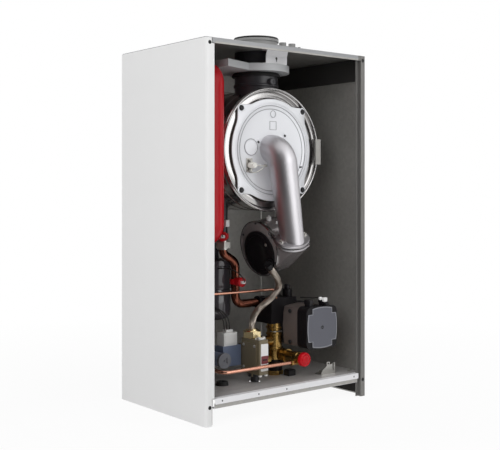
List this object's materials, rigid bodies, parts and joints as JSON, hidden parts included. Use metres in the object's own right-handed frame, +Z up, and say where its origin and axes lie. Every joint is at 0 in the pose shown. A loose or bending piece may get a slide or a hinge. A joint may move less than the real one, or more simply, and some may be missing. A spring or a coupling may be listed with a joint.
{
  "type": "wall-hung condensing gas boiler",
  "caption": "Wall-hung condensing gas boiler with its front cover off: casing, round heat exchanger, fan, gas valve, pump, expansion vessel and copper pipes.",
  "frame": {"origin": "under the middle of the casing, level with the lower edges of its side panels", "axes": "+X to the right seen from the front, +Y from the open front to the wall, +Z up"},
  "size_m": [0.45, 0.315, 0.798],
  "materials": {
    "white_paint": "satin",
    "roof_paint": "satin",
    "galvanised": "matt",
    "tray_paint": "gloss",
    "black_rubber": "matt",
    "grey_plastic": "satin",
    "shelf_plastic": "satin",
    "black_plastic": "satin",
    "stainless": "brushed",
    "cast_aluminium": "satin, as cast",
    "gasket": "matt",
    "zinc_steel": "zinc plated",
    "ceramic": "glazed",
    "brass": "machined",
    "copper": "drawn copper",
    "braid": "braided",
    "valve_paint": "satin",
    "coil_plastic": "satin",
    "white_plastic": "satin",
    "vessel_red": "gloss",
    "red_plastic": "gloss",
    "stator_paint": "satin",
    "plate_grey": "satin",
    "adapter_plastic": "satin"
  },
  "bodies": {
    "boiler": {"air_gas_mixer": "black_plastic", "air_vent_body": "brass", "back_panel": "galvanised", "bottom_tray": "tray_paint", "brass_manifold": "brass", "burner_door": "cast_aluminium", "burner_tube": "stainless", "cable_grommet": "black_rubber", "condensate_trap": "black_plastic", "corner_clips": "black_rubber", "discharge_pipe": "copper", "electrode_insulator": "ceramic", "exchanger_brackets": "galvanised", "exchanger_coil": "stainless", "exchanger_front_ring": "stainless", "exchanger_screws": "zinc_steel", "exchanger_shell": "stainless", "expansion_vessel": "vessel_red", "fan_cover": "cast_aluminium", "fan_motor": "black_plastic", "fan_volute": "cast_aluminium", "flow_pipe": "copper", "flue_adapter": "adapter_plastic", "flue_outlet": "black_plastic", "flue_seal": "black_rubber", "flue_shelf": "shelf_plastic", "foot_block": "grey_plastic", "front_rail": "white_paint", "gas_hose": "braid", "gas_pipe": "copper", "gas_valve_body": "valve_paint", "gas_valve_coil": "coil_plastic", "gaskets": "gasket", "hose_nut": "brass", "ignition_electrode": "zinc_steel", "latch_bracket": "white_paint", "left_side_panel": "white_paint", "mixture_pipe": "cast_aluminium", "pipe_bracket": "galvanised", "pipe_unions": "zinc_steel", "pump_control_box": "black_plastic", "pump_faceplate": "plate_grey", "pump_stator_housing": "stator_paint", "pump_volute": "black_plastic", "relief_valve_body": "brass", "return_pipe": "copper", "right_side_panel": "white_paint", "sensor_clips": "red_plastic", "top_panel": "roof_paint", "valve_plug": "white_plastic", "vessel_pipe": "copper"},
    "fan_rotor_body": {"fan_rotor": "cast_aluminium"},
    "pump_rotor_body": {"pump_rotor": "stainless"},
    "relief_knob_body": {"relief_knob": "red_plastic"},
    "relief_stem_body": {"relief_stem": "brass"},
    "regulator_cap_body": {"regulator_cap": "grey_plastic"},
    "air_vent_cap_body": {"air_vent_cap": "black_plastic"},
    "pump_vent_screw_body": {"pump_vent_screw": "zinc_steel"},
    "test_plug_near_body": {"test_plug_near": "grey_plastic"},
    "test_plug_far_body": {"test_plug_far": "grey_plastic"}
  },
  "joints": [
    {"name": "fan_rotor_spin", "type": "hinge", "parent": "boiler", "child": "fan_rotor_body", "pos_m": [0.032, -0.043, 0.3403], "axis": [0.9781, 0, 0.2079], "continuous": true},
    {"name": "pump_rotor_spin", "type": "hinge", "parent": "boiler", "child": "pump_rotor_body", "pos_m": [0.107, -0.06, 0.163], "axis": [0, -1, 0], "continuous": true},
    {"name": "relief_knob_turn", "type": "hinge", "parent": "boiler", "child": "relief_knob_body", "pos_m": [0.058, -0.13, 0.097], "axis": [0, -1, 0], "range_deg": [0, 90]},
    {"name": "relief_stem_lift", "type": "slide", "parent": "boiler", "child": "relief_stem_body", "axis": [0, -1, 0], "range_m": [0, 0.0015]},
    {"name": "regulator_cap_turn", "type": "hinge", "parent": "boiler", "child": "regulator_cap_body", "pos_m": [-0.105, -0.06, 0.103], "axis": [0, -1, 0], "range_deg": [-180, 180]},
    {"name": "air_vent_cap_turn", "type": "hinge", "parent": "boiler", "child": "air_vent_cap_body", "pos_m": [0.093, -0.0375, 0.24], "axis": [0, 0, 1], "range_deg": [0, 360]},
    {"name": "pump_vent_screw_turn", "type": "hinge", "parent": "boiler", "child": "pump_vent_screw_body", "pos_m": [0.107, -0.13, 0.163], "axis": [0, -1, 0], "range_deg": [0, 360]},
    {"name": "test_plug_near_turn", "type": "hinge", "parent": "boiler", "child": "test_plug_near_body", "pos_m": [0.078, -0.0395, 0.79], "axis": [0, 0, 1], "range_deg": [0, 360]},
    {"name": "test_plug_far_turn", "type": "hinge", "parent": "boiler", "child": "test_plug_far_body", "pos_m": [0.106, -0.0395, 0.79], "axis": [0, 0, 1], "range_deg": [0, 360]}
  ],
  "couplings": [
    {"joint": "relief_stem_lift", "follows": "relief_knob_turn", "m_per_rad": 0.00095}
  ]
}
